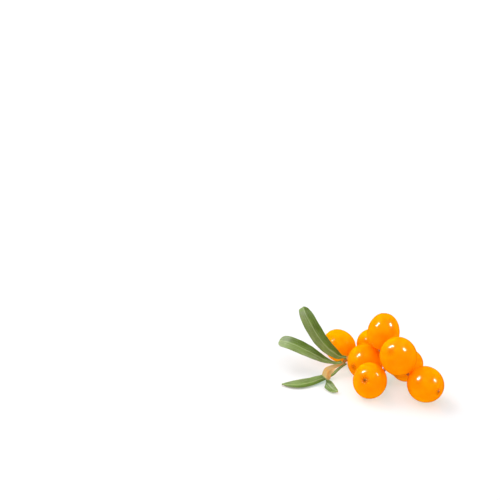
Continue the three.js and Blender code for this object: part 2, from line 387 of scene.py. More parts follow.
class Finish:
    """A material whose nodes are added one call at a time."""

    def __init__(self, name):
        self.material = bpy.data.materials.new(name)
        self.material.use_nodes = True
        self.nodes = self.material.node_tree.nodes
        self.links = self.material.node_tree.links
        self.shader = self.nodes["Principled BSDF"]

    def feed(self, socket, value):
        """Links a value to a socket, or sets it there."""
        if isinstance(value, Value):
            self.links.new(value.socket, socket)
        else:
            socket.default_value = value

    def node(self, kind, settings, inputs, output=0):
        """Adds a node: its settings first, then its sockets by place or by name."""
        made = self.nodes.new(kind)
        for name, value in settings.items():
            setattr(made, name, value)
        named = inputs.items() if isinstance(inputs, dict) else enumerate(inputs)
        for key, value in named:
            self.feed(made.inputs[key], value)
        return Value(self, made.outputs[output])

    def attribute(self, name, output="Fac"):
        """A number, or with output "Vector" a vector, that is stored on the mesh's points."""
        return self.node("ShaderNodeAttribute", {"attribute_name": name}, [], output)

    def split(self, vector):
        """The three numbers of a vector."""
        first = self.node("ShaderNodeSeparateXYZ", {}, [vector])
        return [Value(self, output) for output in first.socket.node.outputs]

    def scaled(self, vector, factors):
        """A vector with each of its numbers times a factor of its own."""
        return self.node("ShaderNodeVectorMath", {"operation": "MULTIPLY"}, [vector, factors])

    def noise(self, vector, scale, detail=3.0, roughness=0.5):
        """Cloudy noise, mostly between 0.3 and 0.7."""
        inputs = {"Vector": vector, "Scale": scale, "Detail": detail, "Roughness": roughness}
        return self.node("ShaderNodeTexNoise", {}, inputs)

    def cells(self, vector, scale):
        """Distance to the middle of the nearest of many scattered dots."""
        return self.node("ShaderNodeTexVoronoi", {}, {"Vector": vector, "Scale": scale})

    def mix(self, share, first, second):
        """A colour between two colours."""
        colours = [colour if isinstance(colour, Value) else (*colour, 1.0) for colour in (first, second)]
        inputs = {MIX_SHARE: share, MIX_FIRST: colours[0], MIX_SECOND: colours[1]}
        return self.node("ShaderNodeMix", {"data_type": "RGBA"}, inputs, MIX_RESULT)

    def bump(self, height, depth):
        """Relief on the surface, where a height of 1 stands depth metres out."""
        inputs = {"Strength": 1.0, "Distance": depth, "Height": height}
        return self.node("ShaderNodeBump", {}, inputs)

    def set(self, **sockets):
        """Feeds the main shader, whose sockets are named with underscores for spaces."""
        for name, value in sockets.items():
            self.feed(self.shader.inputs[name.replace("_", " ")], value)


# Colours, as linear red, green and blue.
ORANGE = (0.97, 0.28, 0.0)
GOLD = (0.97, 0.335, 0.0)
DEEP_ORANGE = (0.97, 0.22, 0.0)
BLUSH = (0.56, 0.12, 0.0)
CREASE = (0.42, 0.09, 0.002)
SCAB = (0.08, 0.032, 0.003)
PAINTED_GLOW = (1.0, 0.13, 0.0)  # painted glow, lifting the berries' shaded sides
DARK = (0.0, 0.0, 0.0)
SPECK = (0.9, 0.5, 0.14)
STALK_OLIVE = (0.2, 0.16, 0.035)

LEAF_GREEN = (0.145, 0.25, 0.028)
LEAF_DEEP = (0.085, 0.145, 0.014)
LEAF_SAGE = (0.31, 0.38, 0.155)
RIB_PALE = (0.43, 0.52, 0.24)
UNDER_SILVER = (0.4, 0.46, 0.22)
RUST = (0.66, 0.3, 0.05)
# The colour of a painted highlight on the underside of a leaf.
CREAM = (1.0, 0.94, 0.6)
SCALE_SILVER = (0.5, 0.55, 0.36)

BARK_BROWN = (0.16, 0.085, 0.035)
BARK_GREY = (0.3, 0.25, 0.18)
BARK_YOUNG = (0.5, 0.22, 0.03)
WOOD_PALE = (0.72, 0.55, 0.3)
PITH = (0.42, 0.26, 0.11)

# Near the berries the table's colour and glow are painted light: a tint and a glow that cancel the berries'
# orange light and lift their shadows, so that these stay pale and nearly grey. Further off it is neutral,
# and in the distance it glows white.
SHADOW_TINT_NEAR = (0.6, 0.4, 0.43)
TABLE_FAR = (0.7, 0.7, 0.7)
SHADOW_FILL_NEAR = (0.32, 0.555, 0.52)
GLOW_FAR = (0.14, 0.14, 0.15)
GLOW_DISTANT = (0.65, 0.65, 0.65)
FRUIT_MIDDLE = (0.008, -0.003, 0.0)  # in metres, on the table under the berries
NEAR_FADE = (0.012, 0.026)  # metres from there, between which near turns to far
DISTANT_FADE = (0.03, 0.3)

PAINTED_GLOW_STRENGTH = 0.12  # of the painted glow in a berry
FLESH_REACH = 5 * MM  # how far light travels under a berry's skin
BLADE_REACH = 0.5 * MM  # and inside a leaf

# Height of the finest relief.
SKIN_RELIEF = 0.003 * MM
BLADE_RELIEF = 0.02 * MM
BARK_RELIEF = 0.06 * MM

# Places on a leaf, in millimetres from its rib or along it.
PALE_RIB = 0.16
RUSTY_RIB = 0.42
VEINS_PER_MM = 1.35
VEIN_SLANT = 1.1
GLINT_MIDDLE = 2.8  # of the painted highlight beside the petiole
GLINT_SPREAD = 1.7
SILVER_FADE = (13.0, 18.0)  # between which the silvery end comes in


def berry_skin(name, gloss):
    """Taut translucent orange skin: faintly mottled, dotted with tiny scales, and dark at the tip. A
    painted glow lifts its shaded sides, less where the tip is marked.
    """
    finish = Finish(name)
    place = finish.attribute("place", "Vector")
    scab = finish.attribute("scab")
    crease = finish.attribute("crease")
    blush = finish.attribute("blush")
    stem = finish.attribute("stem")
    mottle = finish.noise(place, scale=0.35, detail=2.0).between(0.35, 0.68)
    flecks = finish.noise(place, scale=1.4, detail=4.0, roughness=0.6).between(0.45, 0.7)
    dots = 1 - finish.cells(place, scale=2.3).between(0.06, 0.14)
    dots = dots * finish.noise(place, scale=0.6).between(0.42, 0.6)
    # The painted glow: each berry glows evenly to lift its shaded sides, less on the marks at its tip.
    glow_cut = scab + crease * 0.6 + blush * 0.5
    colour = finish.mix(mottle, ORANGE, GOLD)
    colour = finish.mix(flecks * 0.2, colour, DEEP_ORANGE)
    colour = finish.mix(dots * 0.2, colour, SPECK)
    colour = finish.mix(stem * 0.35, colour, STALK_OLIVE)
    colour = finish.mix(blush, colour, BLUSH)
    colour = finish.mix(crease * 0.5, colour, CREASE)
    colour = finish.mix(scab, colour, SCAB)
    finish.set(
        Base_Color=colour,
        Roughness=0.13 + dots * 0.05 + scab * 0.45,
        Normal=finish.bump(dots, SKIN_RELIEF),
        Subsurface_Weight=0.7,
        Subsurface_Radius=(1.0, 0.6, 0.02),
        Subsurface_Scale=FLESH_REACH,
        Emission_Color=finish.mix(glow_cut, PAINTED_GLOW, DARK),
        Emission_Strength=PAINTED_GLOW_STRENGTH,
        Specular_IOR_Level=gloss,
    )
    return finish.material


def leaf_blade(name, rust, silver, half_shade):
    """A narrow leaf: green above with fine silvery scales and a pale sunken midrib, silver-sage below with
    rusty scales and a raised rib. One half of the upper side is painted darker and the other paler, as
    painted shade and light, and a painted highlight lies on the underside by the petiole."""
    finish = Finish(name)
    place = finish.attribute("place", "Vector")
    blade = finish.attribute("blade", "Vector")
    across, along, level = finish.split(blade)
    above = level.between(-0.15, 0.15)
    rib = across.bell(0.0, PALE_RIB)
    rib_soft = across.bell(0.0, RUSTY_RIB)
    streaks = finish.noise(finish.scaled(blade, (3.0, 0.35, 1.0)), scale=1.0, detail=4.0, roughness=0.6)
    patches = finish.noise(place, scale=0.35)
    scales = 1 - finish.cells(place, scale=5.5).between(0.18, 0.42)
    few = scales * finish.noise(place, scale=1.1, detail=2.0).between(0.35, 0.65)
    outward = across.math("ABSOLUTE")
    slanted = along * VEINS_PER_MM - outward * VEIN_SLANT + patches * 0.8
    veins = slanted.math("FRACT").bell(0.5, 0.1) * outward.between(0.25, 0.5)
    half = across * math.copysign(1.0, half_shade)
    upper = finish.mix(patches.between(0.3, 0.7), LEAF_DEEP, LEAF_GREEN)
    upper = finish.mix(streaks.between(0.4, 0.75) * (0.35 + 0.65 * silver), upper, LEAF_SAGE)
    upper = finish.mix(few * (0.12 + 0.3 * silver), upper, SCALE_SILVER)
    upper = finish.mix(veins * 0.14, upper, LEAF_SAGE)
    # Painted shade and light: one half of the upper side is painted paler and the other darker, as the two
    # sides of a fold would look in the light.
    upper = finish.mix(half.between(-0.9, 0.3) * 0.3 + 0.7, LEAF_SAGE, upper)
    upper = finish.mix(half.between(0.1, 1.0) * (0.45 * abs(half_shade)), upper, LEAF_DEEP)
    upper = finish.mix(along.between(*SILVER_FADE) * (1.1 * silver**2), upper, SCALE_SILVER)
    upper = finish.mix(rib * 0.5, upper, RIB_PALE)
    lower = finish.mix(patches.between(0.3, 0.7) * 0.5, UNDER_SILVER, LEAF_SAGE)
    lower = finish.mix(scales * 0.35, lower, SCALE_SILVER)
    rusty = (patches.between(0.35, 0.6) * 0.55 + 0.45) * rust + rib_soft * 0.25
    lower = finish.mix(rusty * (0.75 + scales * 0.25), lower, RUST)
    # Painted highlight: a cream streak over one half of the underside near the petiole, strongest on the
    # rustiest leaf.
    painted_glint = across.between(-0.05, 0.15) * along.bell(GLINT_MIDDLE, GLINT_SPREAD)
    lower = finish.mix(painted_glint * rust, lower, CREAM)
    colour = finish.mix(above, lower, upper)
    relief = scales * 0.35 + veins * -0.5 + streaks * 0.9
    finish.set(
        Base_Color=colour,
        Roughness=0.52 + scales * 0.14 - above * 0.06,
        Normal=finish.bump(relief, BLADE_RELIEF),
        Subsurface_Weight=0.15,
        Subsurface_Radius=(0.6, 1.0, 0.25),
        Subsurface_Scale=BLADE_REACH,
        Specular_IOR_Level=0.08,
    )
    return finish.material


def bark():
    """Thin brown bark, patched with grey, furrowed and dotted with pale lenticels on the older wood, and
    tawny on the young stalks. The pruned end shows pale wood round a brown pith."""
    finish = Finish("bark")
    place = finish.attribute("place", "Vector")
    grain = finish.attribute("grain", "Vector")
    young = finish.attribute("young")
    cut = finish.attribute("cut")
    pith = finish.attribute("pith")
    furrows = finish.noise(finish.scaled(grain, (0.5, 3.2, 1.0)), scale=1.0, detail=5.0, roughness=0.6)
    patches = finish.noise(place, scale=0.8)
    lenticels = 1 - finish.cells(finish.scaled(grain, (1.2, 1.7, 1.0)), scale=1.0).between(0.1, 0.2)
    colour = finish.mix(patches.between(0.35, 0.65), BARK_BROWN, BARK_GREY)
    colour = finish.mix(furrows.between(0.5, 0.75) * 0.55, colour, BARK_BROWN)
    colour = finish.mix(young, colour, BARK_YOUNG)
    colour = finish.mix(lenticels * (1 - young) * 0.7, colour, WOOD_PALE)
    wood = finish.mix(pith, WOOD_PALE, PITH)
    wood = finish.mix(patches.between(0.4, 0.8) * 0.25, wood, PITH)
    colour = finish.mix(cut, colour, wood)
    relief = furrows * (1 - cut * 0.7) + lenticels * 0.4
    finish.set(
        Base_Color=colour,
        Roughness=0.62 + furrows * 0.2 - young * 0.12,
        Normal=finish.bump(relief, BARK_RELIEF),
        Specular_IOR_Level=0.1,
    )
    return finish.material


def pale_table():
    """A smooth white light table, faintly glossy, lit a little from inside, and painted lighter in the
    shade near the fruit.
    """
    finish = Finish("pale_table")
    place = finish.node("ShaderNodeTexCoord", {}, [], "Object")
    haze = finish.noise(place, scale=40.0, detail=2.0)
    # Painted light: near the fruit the tint and glow lift the berries' shadows and keep them grey.
    reach = finish.node("ShaderNodeVectorMath", {"operation": "DISTANCE"}, [place, FRUIT_MIDDLE], "Value")
    away = reach.between(*NEAR_FADE)
    glow = finish.mix(away, SHADOW_FILL_NEAR, GLOW_FAR)
    glow = finish.mix(reach.between(*DISTANT_FADE), glow, GLOW_DISTANT)
    finish.set(
        Base_Color=finish.mix(away, SHADOW_TINT_NEAR, TABLE_FAR),
        Roughness=0.12 + haze * 0.06,
        Specular_IOR_Level=0.6,
        Emission_Color=glow,
        Emission_Strength=1.0,
    )
    return finish.material


# ---- Mesh building ----


def bell(values, spread):
    """1 at nothing, and falling away over spread on both sides."""
    return np.exp(-((np.asarray(values) / spread) ** 2))


def unit(vectors):
    """The same directions, all 1 long."""
    vectors = np.asarray(vectors, float)
    return vectors / np.linalg.norm(vectors, axis=-1, keepdims=True)


def wobble(points, scale, seed):
    """Smooth noise between -1 and 1 at each of an array of points."""
    flat = np.asarray(points, float).reshape(-1, 3) * scale + seed
    found = [noise.noise(Vector(point)) for point in flat]
    return np.array(found).reshape(np.shape(points)[:-1])


FINE_STEPS = 48  # between two points that a curve is drawn through
HEADING_STEP = 0.01  # of a curve's length, over which its heading is taken
SETTLING = 0.05  # softness of the curve where a skin leaves the table

# Each piece reads its pattern this far from the last one's, so that no two look the same.
BERRY_PATTERN_STEP = 40.0
LEAF_PATTERN_STEP = 30.0
LIMB_PATTERN_STEP = 17.0


def through(points):
    """Closely spaced points on a centripetal Catmull-Rom curve through a few points."""
    knots = np.array(points, float)
    knots = np.vstack([2 * knots[0] - knots[1], knots, 2 * knots[-1] - knots[-2]])
    gaps = np.linalg.norm(np.diff(knots, axis=0), axis=1) ** 0.5
    share = np.linspace(0, 1, FINE_STEPS, endpoint=False)[:, None]
    stretches = []
    for number in range(1, len(knots) - 2):
        behind, start, end, beyond = knots[number - 1 : number + 3]
        gap = gaps[number] or 1.0
        before = gaps[number - 1] or gap
        after = gaps[number + 1] or gap
        step = (end - start) / gap
        leaving = (start - behind) / before - (end - behind) / (before + gap) + step
        coming = step - (beyond - start) / (gap + after) + (beyond - end) / after
        stretches.append(
            (2 * share**3 - 3 * share**2 + 1) * start
            + (share**3 - 2 * share**2 + share) * leaving * gap
            + (3 * share**2 - 2 * share**3) * end
            + (share**3 - share**2) * coming * gap
        )
    return np.vstack([*stretches, knots[-2:-1]])


def evenly(curve, shares, *followers):
    """Points at shares of a curve's length, and what its followers say there."""
    steps = np.linalg.norm(np.diff(curve, axis=0), axis=1)
    travelled = np.concatenate([[0], np.cumsum(steps)])
    at = np.atleast_1d(shares) * travelled[-1]
    found = []
    for row in (curve, *followers):
        found.append(np.stack([np.interp(at, travelled, column) for column in row.T], 1))
    return found if followers else found[0]


def heading(curve, share):
    """The point at a share of a curve's length, and the way the curve runs there."""
    here, ahead = evenly(curve, [share, share + HEADING_STEP])
    return here, unit(ahead - here)


def settled(height):
    """Lifts what would sink below the table, with a small soft curve where the skin leaves it."""
    return (height + np.sqrt(height**2 + SETTLING**2)) / 2


def turned_to(direction):
    """The rotation that takes +Y to a direction, as a matrix."""
    return np.array(Vector((0, 1, 0)).rotation_difference(Vector(direction)).to_matrix())


def closed_skin(rings, first, last):
    """Vertices and faces of a closed skin over rings of points, with a point closing each end."""
    count, sides = rings.shape[:2]
    vertices = np.vstack([rings.reshape(-1, 3), first, last])
    faces = []
    for ring in range(count - 1):
        for side in range(sides):
            here = ring * sides + side
            beside = ring * sides + (side + 1) % sides
            faces.append((here, beside, beside + sides, here + sides))
    tail = (count - 1) * sides
    for side in range(sides):
        beside = (side + 1) % sides
        faces.append((beside, side, count * sides))
        faces.append((tail + side, tail + beside, count * sides + 1))
    return vertices, faces


def add_mesh(name, vertices, faces, **attributes):
    """A smooth-shaded object from points in millimetres, with values or vectors stored on its points."""
    data = bpy.data.meshes.new(name)
    data.from_pydata((np.asarray(vertices) * MM).tolist(), [], faces)
    for key, values in attributes.items():
        store(data, key, values)
    work = bmesh.new()
    work.from_mesh(data)
    bmesh.ops.recalc_face_normals(work, faces=work.faces)
    work.to_mesh(data)
    work.free()
    data.shade_smooth()
    made = bpy.data.objects.new(name, data)
    bpy.context.scene.collection.objects.link(made)
    return made


def store(data, key, values):
    """Keeps a number or a vector for each point of a mesh."""
    values = np.asarray(values, np.float32)
    kind, field = ("FLOAT_VECTOR", "vector") if values.ndim == 2 else ("FLOAT", "value")
    data.attributes.new(key, kind, "POINT").data.foreach_set(field, values.ravel())


def dress(piece, material, node):
    """Gives a piece its finish, and puts it in the place of the solid that it stands for."""
    piece.data.materials.append(material)
    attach(piece, "root")
    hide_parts(node)


# ---- Berries ----

BERRY_SIDES = 112
BERRY_RINGS = 84
POLE_CROWDING = 0.3  # above 0, the rings lie closer at the two ends

# Relief on the skin. The radii and spreads are of rings round the berry's axis.
LUMP_HEIGHT = 0.06
RIPPLE_HEIGHT = 0.01
STYLE_HEIGHT = 0.16  # the dried style, on the tip
STYLE_SPREAD = 0.24
DIP_DEPTH = 0.14  # the dip round it
DIP_RADIUS = 0.35
DIP_SPREAD = 0.32
TIP_FOLDS = 9  # the folds that gather the skin round that
FOLD_DEPTH = 0.08
FOLD_RADIUS = 0.8
FOLD_SPREAD = 0.36
FOLD_WANDER = 2.5  # radians that a fold strays from its place round the axis
CRINKLE_HEIGHT = 0.035  # fine crinkles beyond the folds
CRINKLE_RADIUS = 1.2
CRINKLE_SPREAD = 0.5
STEM_FOLDS = 7  # the folds round the stalk's pit
PUCKER_HEIGHT = 0.04
PUCKER_RADIUS = 1.35
PUCKER_SPREAD = 0.5
PUCKER_WANDER = 2.0
UNEVENNESS = 0.35  # how far the marks at the tip stray from round

# The marks on the skin, and how far each lies or spreads from the axis.
SCAB_SPREAD = 0.3
CREASE_RADIUS = 0.6
CREASE_SPREAD = 0.4
BLUSH_STRENGTH = 0.85
BLUSH_SPREAD = 1.05
STEM_SPREAD = 1.3


def add_berry(name, at, width, tip, long, tall, blunt, scab, fold, blush, seed):
    """A berry's skin, in rings from its tip to the pit that its stalk sits in, turned and set in place."""
    share = np.linspace(0, 1, BERRY_RINGS + 2)
    polar = math.pi * share - POLE_CROWDING * np.sin(2 * math.pi * share)
    polar = np.repeat(polar[:, None], BERRY_SIDES, 1)
    turn = np.tile(np.linspace(0, 2 * math.pi, BERRY_SIDES, endpoint=False), (len(share), 1))
    lift = np.cos(polar)
    ball = np.stack([np.sin(polar) * np.cos(turn), lift, np.sin(polar) * np.sin(turn)], -1)
    radius = np.sin(polar) * width / 2
    near_tip = lift > 0
    lumps = LUMP_HEIGHT * wobble(ball, scale=1.1, seed=seed)
    uneven = lumps + RIPPLE_HEIGHT * wobble(ball, scale=2.6, seed=seed + 5)
    folds = np.cos(TIP_FOLDS * turn + FOLD_WANDER * wobble(ball, scale=2.0, seed=seed + 9))
    reach = 1 + UNEVENNESS * wobble(ball, scale=3.0, seed=seed + 2)
    style = STYLE_HEIGHT * scab * bell(radius, STYLE_SPREAD)
    crown = style - DIP_DEPTH * fold * bell(radius - DIP_RADIUS, DIP_SPREAD)
    crown = crown - blunt * bell(radius, BLUNT_RADIUS)
    crown = crown - fold * FOLD_DEPTH * (1 - folds) * bell(radius - FOLD_RADIUS * reach, FOLD_SPREAD)
    crinkles = wobble(ball, scale=9.0, seed=seed + 4) * bell(radius - CRINKLE_RADIUS, CRINKLE_SPREAD)
    crown = crown + fold * CRINKLE_HEIGHT * crinkles
    puckers = np.cos(STEM_FOLDS * turn + PUCKER_WANDER * wobble(ball, scale=2.0, seed=seed + 7))
    gathered = PUCKER_HEIGHT * puckers * bell(radius - PUCKER_RADIUS, PUCKER_SPREAD)
    hollow = PIT_DEPTH * bell(radius, PIT_RADIUS) + gathered
    girth = width / 2 * (1 - BERRY_TAPER * lift) + uneven
    points = ball * girth[..., None]
    points[..., 1] = lift * (width * long / 2 + uneven) + np.where(near_tip, crown, hollow)
    placed = points @ turned_to(tip).T * (1, 1, tall) + at
    placed[..., 2] = settled(placed[..., 2])
    marks = {
        "place": points + BERRY_PATTERN_STEP * seed,
        "scab": near_tip * scab * bell(radius * reach, SCAB_SPREAD),
        "crease": near_tip * fold * (1 - folds) / 2 * bell(radius - CREASE_RADIUS * reach, CREASE_SPREAD),
        "blush": near_tip * blush * BLUSH_STRENGTH * bell(radius, BLUSH_SPREAD) * (0.7 + 0.3 * folds),
        "stem": ~near_tip * bell(radius, STEM_SPREAD),
    }
    vertices, faces = closed_skin(placed[1:-1], placed[0, 0], placed[-1, 0])
    stored = {}
    for key, values in marks.items():
        stored[key] = np.concatenate([*values[1:-1], values[0, :1], values[-1, :1]])
    return add_mesh(name + "_skin", vertices, faces, **stored)


# ---- Leaves ----

LEAF_STATIONS = 210
LEAF_SIDES = 96
TIP_CROWDING = 1.35  # above 1, the stations lie closer towards the tip
EDGE_BLUNTNESS = 0.45  # below 1, the blade keeps its thickness further out
MARGIN_WAVE = 0.05  # of the half width
MARGIN_STEPS = 9  # of noise along the leaf
ROLL = 0.1  # how far the margins turn down, of the half width
ROLL_POWER = 6
BUCKLE = 0.07  # height of the waves in the blade
GROOVE_DEPTH = 0.12  # over the midrib
GROOVE_SPREAD = 0.3
RIB_HEIGHT = 0.3  # on the underside
RIB_SPREAD = 0.26
RIB_FADE = 0.75  # share of its height that the rib loses on the way to the tip


def leaf_outline(share, half_width, widest, foot, full, point):
    """Half a leaf's width along it: a narrow petiole, then a blade that swells and closes to its tip."""
    blade = np.clip((share - PETIOLE_SHARE) / (1 - PETIOLE_SHARE), 0, 1)
    swelling = np.sin(math.pi / 2 * np.minimum(1, blade / widest)) ** foot
    beyond = np.maximum(0, (blade - widest) / (1 - widest))
    closing = np.maximum(0, 1 - beyond**full) ** point
    least = PETIOLE_HALF_WIDTH * (1 - (1 - LEAF_TIP_WIDTH) * blade)
    return np.maximum(least, half_width * swelling * closing)


def add_leaf(name, half_width, widest, foot, full, point, fold, midrib, face, seed):
    """A petiole and its blade in one skin, in rings that follow the midrib and turn with the upper side."""
    share = 1 - np.linspace(1, 0, LEAF_STATIONS) ** TIP_CROWDING
    centre, up = evenly(through(midrib), share, through(face))
    along = unit(np.gradient(centre, axis=0))
    up = unit(up - along * np.sum(up * along, 1, keepdims=True))
    side = np.cross(along, up)
    length = np.sum(np.linalg.norm(np.diff(centre, axis=0), axis=1))
    turn = np.linspace(0, 2 * math.pi, LEAF_SIDES, endpoint=False)[None, :]
    across = np.cos(turn)
    upper = np.sin(turn) > 0
    width = leaf_outline(share, half_width, widest, foot, full, point)[:, None]
    steps = np.stack([share * MARGIN_STEPS, share * 0, share * 0], 1)
    wave = wobble(steps, scale=1.0, seed=seed)[:, None]
    width = width * (1 + MARGIN_WAVE * wave * across)
    out = across * width
    body = LEAF_THICKNESS / 2 * np.sign(np.sin(turn)) * np.abs(np.sin(turn)) ** EDGE_BLUNTNESS
    strong = 1 - RIB_FADE * share[:, None]
    groove = -GROOVE_DEPTH * strong * bell(out, GROOVE_SPREAD)
    rib = -RIB_HEIGHT * strong * bell(out, RIB_SPREAD)
    relief = np.where(upper, groove, rib * bell(np.sin(turn) + 1, 0.5))
    rolled = -ROLL * np.abs(across) ** ROLL_POWER * width
    spots = np.stack([out, share[:, None] * length * np.ones_like(out), np.zeros_like(out)], -1)
    waves = wobble(spots, scale=0.45, seed=seed + 3)
    buckled = BUCKLE * waves * np.abs(across) * np.minimum(1, width)
    height = fold * width * across**2 + rolled + body + relief + buckled
    rings = centre[:, None] + side[:, None] * out[..., None] + up[:, None] * height[..., None]
    ends = rings[0].mean(0), rings[-1].mean(0)
    vertices, faces = closed_skin(rings, *ends)
    vertices[:, 2] = settled(vertices[:, 2])
    level = np.sin(turn) * np.ones_like(out)
    blade = np.stack([out, spots[..., 1], level], -1).reshape(-1, 3)
    blade = np.vstack([blade, (0, 0, 0), (0, length, 0)])
    place = vertices + LEAF_PATTERN_STEP * seed
    return add_mesh(name + "_blade", vertices, faces, blade=blade, place=place)


# ---- Twig, spur, stalks and buds ----

LIMB_SIDES = 24
LIMB_RINGS = 90
STALK_RINGS = 24
BUD_RINGS = 15
BUD_END = 0.1  # over its middle's thickness
MOSTLY_UP = (0.3, 0.2, 1.0)  # a way that no limb runs
VOXEL = 0.07
SOFTENING = 6  # rounds of smoothing over the joined limbs
FURROW_DEPTH = 0.035
GRAIN_WIDTH = 1.3  # of the bark's pattern, round a limb

# How young the bark is at a limb's foot, and how much younger at its tip: 0 is old wood, 1 a new shoot.
YOUTH = {"twig": (0.0, 0.95), "spur": (0.55, 0.35)}
STALK_YOUTH = (0.9, 0.0)

CUT_REACH = 3.0  # how far from its middle the pruning cut can flatten the twig
BARE_SHARE = 0.82  # of the twig's radius at the cut, which is bare wood inside the bark
BARE_EDGE = 0.12
PITH_SPREAD = 0.26


def limb(centres, radii):
    """The closed skin of a tube round a line of centres."""
    along = unit(np.gradient(centres, axis=0))
    across = np.cross(along[0], MOSTLY_UP)
    turn = np.linspace(0, 2 * math.pi, LIMB_SIDES, endpoint=False)
    rings = []
    for centre, ahead, radius in zip(centres, along, radii):
        across = unit(across - ahead * np.dot(across, ahead))
        upward = np.cross(ahead, across)
        rings.append(centre + radius * (np.outer(np.cos(turn), across) + np.outer(np.sin(turn), upward)))
    return closed_skin(np.array(rings), centres[0], centres[-1])


def stalk_centres(name, wood):
    """A stalk leaves the wood, bends, and enters the berry's pit straight along the berry's axis."""
    fruit = BERRIES[name]
    root = evenly(wood, STALKS[name][1])[0]
    reach = fruit["width"] * fruit["long"] / 2 - PIT_DEPTH
    pit = -unit(fruit["tip"]) * reach * (1, 1, fruit["tall"])
    outward = unit(pit)
    end = np.array(fruit["at"]) + pit + outward * SEAT
    bend = end + outward * min(STALK_LEAD, np.linalg.norm(end - root) * STALK_LEAD_SHARE)
    share = np.linspace(0, 1, STALK_RINGS)[:, None]
    return (1 - share) ** 2 * root + 2 * share * (1 - share) * bend + share**2 * end


def twig_radius(share):
    """The twig's radius at a share of its length from the cut."""
    return TWIG_RADIUS_CUT + (TWIG_RADIUS_TIP - TWIG_RADIUS_CUT) * share**TWIG_TAPER


def spur_radius(share):
    """The spur's radius at a share of its length from the twig."""
    return SPUR_RADIUS * (1 - SPUR_TAPER * share)


def stalk_radius(share):
    """A stalk's radius at a share of its length from the wood, flared at both ends."""
    flare = bell(1 - share, COLLAR_SHARE) + HEEL_SWELL * bell(share, HEEL_SHARE)
    return STALK_RADIUS + (STALK_COLLAR - STALK_RADIUS) * flare


def bud(curve, share, turn):
    """A small egg-shaped bud that leans along the twig."""
    here, along = heading(curve, share)
    side = unit(np.cross((0, 0, 1), along))
    angle = math.radians(turn)
    side = side * math.cos(angle) + np.cross(along, side) * math.sin(angle)
    axis = unit(side + BUD_LEAN * along)
    middle = here + side * (twig_radius(share) + BUD_STAND)
    steps = np.linspace(-1, 1, BUD_RINGS)
    centres = middle + np.outer(steps * BUD_RADIUS * BUD_LENGTH, axis)
    return limb(centres, BUD_RADIUS * np.sqrt(np.clip(1 - steps**2, BUD_END**2, 1)))


def joined(shells):
    """One watertight skin round several closed ones, smoothed so that they run into each other."""
    vertices = np.vstack([shell[0] for shell in shells])
    faces = []
    start = 0
    for points, skin in shells:
        faces += [tuple(start + corner for corner in face) for face in skin]
        start += len(points)
    rough = add_mesh("twig_rough", vertices, faces)
    remesh = rough.modifiers.new("weld", "REMESH")
    remesh.mode = "VOXEL"
    remesh.voxel_size = VOXEL * MM
    smooth = rough.modifiers.new("soften", "SMOOTH")
    smooth.iterations = SOFTENING
    graph = bpy.context.evaluated_depsgraph_get()
    data = bpy.data.meshes.new_from_object(rough.evaluated_get(graph))
    bpy.data.objects.remove(rough)
    points = np.zeros(len(data.vertices) * 3)
    data.vertices.foreach_get("co", points)
    faces = [tuple(face.vertices) for face in data.polygons]
    return points.reshape(-1, 3) / MM, faces


def add_twig():
    """The whole shoot as one skin: twig, spur, stalks and buds, with furrowed bark and the pruned end."""
    twig = through(TWIG_PATH)
    spur = through(SPUR_PATH)
    share = np.linspace(0, 1, LIMB_RINGS)
    lines = {
        "twig": (evenly(twig, share), twig_radius(share)),
        "spur": (evenly(spur, share), spur_radius(share)),
    }
    for name in BERRIES:
        wood = twig if STALKS[name][0] == "twig" else spur
        centres = stalk_centres(name, wood)
        lines[name] = (centres, stalk_radius(np.linspace(0, 1, len(centres))))
    shells = [limb(*line) for line in lines.values()]
    shells += [bud(twig, *each) for each in BUDS]
    points, faces = joined(shells)
    grain, young = grain_of(points, lines)
    points, cut, pith = pruned(points, twig)
    ridges = wobble(grain, scale=1.0, seed=3) + 0.5 * wobble(grain, scale=2.3, seed=8)
    outward = unit(points - nearest_centres(points, lines))
    points = points + outward * (FURROW_DEPTH * ridges * (1 - young) * (1 - cut))[:, None]
    marks = {"grain": grain, "place": points, "young": young, "cut": cut, "pith": pith}
    return add_mesh("twig_wood", points, faces, **marks)


def nearest(points, lines):
    """For each point, the numbers of the limb and of the centre in it that the point lies nearest to."""
    best = np.full(len(points), np.inf)
    line_of = np.zeros(len(points), int)
    step_of = np.zeros(len(points), int)
    for number, (centres, radii) in enumerate(lines.values()):
        away = np.linalg.norm(points[:, None] - centres[None], axis=2) - radii[None]
        step = away.argmin(1)
        gap = away[np.arange(len(points)), step]
        closer = gap < best
        best[closer] = gap[closer]
        line_of[closer] = number
        step_of[closer] = step[closer]
    return line_of, step_of


def nearest_centres(points, lines):
    """For each point, the nearest centre of the limb that it lies on."""
    line_of, step_of = nearest(points, lines)
    found = np.zeros_like(points)
    for number, (centres, _) in enumerate(lines.values()):
        mine = line_of == number
        found[mine] = centres[step_of[mine]]
    return found


def grain_of(points, lines):
    """Each point's place along and round its limb, and how young the bark is there."""
    line_of, step_of = nearest(points, lines)
    grain = np.zeros_like(points)
    young = np.zeros(len(points))
    for number, (name, (centres, _)) in enumerate(lines.items()):
        mine = line_of == number
        along = unit(np.gradient(centres, axis=0))[step_of[mine]]
        away = points[mine] - centres[step_of[mine]]
        across = unit(np.cross(along, MOSTLY_UP))
        turn = np.arctan2(np.sum(np.cross(across, away) * along, 1), np.sum(across * away, 1))
        travelled = np.concatenate([[0], np.cumsum(np.linalg.norm(np.diff(centres, axis=0), axis=1))])
        grain[mine, 0] = travelled[step_of[mine]] + LIMB_PATTERN_STEP * number
        grain[mine, 1] = np.cos(turn) * GRAIN_WIDTH
        grain[mine, 2] = np.sin(turn) * GRAIN_WIDTH
        at_foot, gained = YOUTH.get(name, STALK_YOUTH)
        young[mine] = at_foot + (step_of[mine] / len(centres)) ** 2 * gained
    return grain, young


